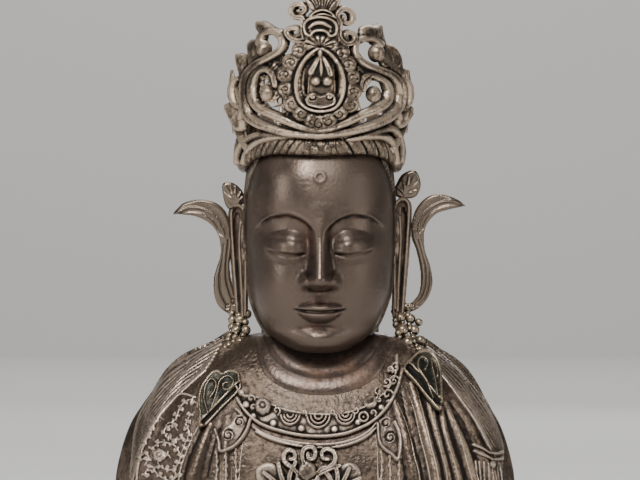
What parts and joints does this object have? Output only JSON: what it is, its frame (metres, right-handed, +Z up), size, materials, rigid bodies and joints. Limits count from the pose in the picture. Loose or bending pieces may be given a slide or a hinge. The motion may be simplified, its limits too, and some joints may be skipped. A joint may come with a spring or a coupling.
{
  "type": "guanyin bust",
  "caption": "Crowned bodhisattva bust in dark cast bronze: calm lowered face, openwork scroll crown, ribbons, pendants, bead collar and pleated robe, cut flat below.",
  "frame": {"origin": "centre of the flat underside", "axes": "+Z up, the face looks along -Y, +X is to the right of someone who faces the bust"},
  "size_m": [0.2, 0.1109, 0.2832],
  "materials": {
    "dark_bronze": "dark brown patinated cast bronze, semi-gloss, worn on the high parts and dusty in the folds",
    "dusty_bronze": "dull brown cast bronze with pale dust and wear on the raised scrolls and dark hollows"
  },
  "bodies": {
    "root": {"figure": "dark_bronze", "crown": "dusty_bronze"}
  },
  "joints": []
}
